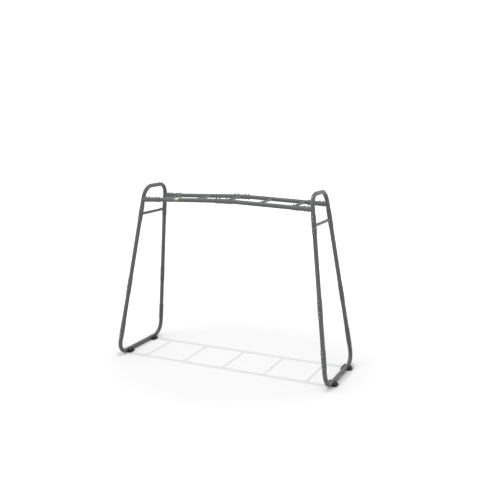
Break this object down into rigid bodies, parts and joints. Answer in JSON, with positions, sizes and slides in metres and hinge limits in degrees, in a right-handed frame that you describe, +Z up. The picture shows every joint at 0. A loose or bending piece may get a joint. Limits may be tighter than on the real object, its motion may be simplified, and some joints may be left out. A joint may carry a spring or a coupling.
{
  "type": "monkey bars",
  "caption": "Free-standing horizontal ladder on two leaning end frames of bent steel tube, joined by bolted sleeves, with a slightly crowned pair of rails and black feet.",
  "frame": {"origin": "on the ground, in the middle of the four feet", "axes": "+X along the ladder, -Y the front, +Z up"},
  "size_m": [3.258, 1.134, 2.4435],
  "materials": {
    "tube": "satin grey powder coat",
    "sleeve": "satin grey powder coat, with zinc plated bolts",
    "fastener": "dull zinc plate",
    "bolt_cover": "black moulded plastic",
    "foot": "fine textured black",
    "label": "satin film"
  },
  "bodies": {
    "root": {"left_top_bow": "tube", "left_bottom_bow": "tube", "left_crossbar": "tube", "left_front_upper_leg": "tube", "left_front_lower_leg": "tube", "left_front_shoulder_sleeve": "sleeve", "left_front_middle_sleeve": "sleeve", "left_front_lower_sleeve": "sleeve", "left_front_foot": "foot", "left_front_rail": "tube", "left_front_rail_stub": "tube", "left_front_rail_socket": "sleeve", "left_back_upper_leg": "tube", "left_back_lower_leg": "tube", "left_back_shoulder_sleeve": "sleeve", "left_back_middle_sleeve": "sleeve", "left_back_lower_sleeve": "sleeve", "left_back_foot": "foot", "left_back_rail": "tube", "left_back_rail_stub": "tube", "left_back_rail_socket": "sleeve", "right_top_bow": "tube", "right_bottom_bow": "tube", "right_crossbar": "tube", "right_front_upper_leg": "tube", "right_front_lower_leg": "tube", "right_front_shoulder_sleeve": "sleeve", "right_front_middle_sleeve": "sleeve", "right_front_lower_sleeve": "sleeve", "right_front_foot": "foot", "right_front_rail": "tube", "right_front_rail_stub": "tube", "right_front_rail_socket": "sleeve", "right_back_upper_leg": "tube", "right_back_lower_leg": "tube", "right_back_shoulder_sleeve": "sleeve", "right_back_middle_sleeve": "sleeve", "right_back_lower_sleeve": "sleeve", "right_back_foot": "foot", "right_back_rail": "tube", "right_back_rail_stub": "tube", "right_back_rail_socket": "sleeve", "front_centre_splice": "sleeve", "back_centre_splice": "sleeve", "rail_label": "label", "rung_1": "tube", "rung_2": "tube", "rung_3": "tube", "rung_4": "tube", "rung_5": "tube"}
  },
  "joints": []
}
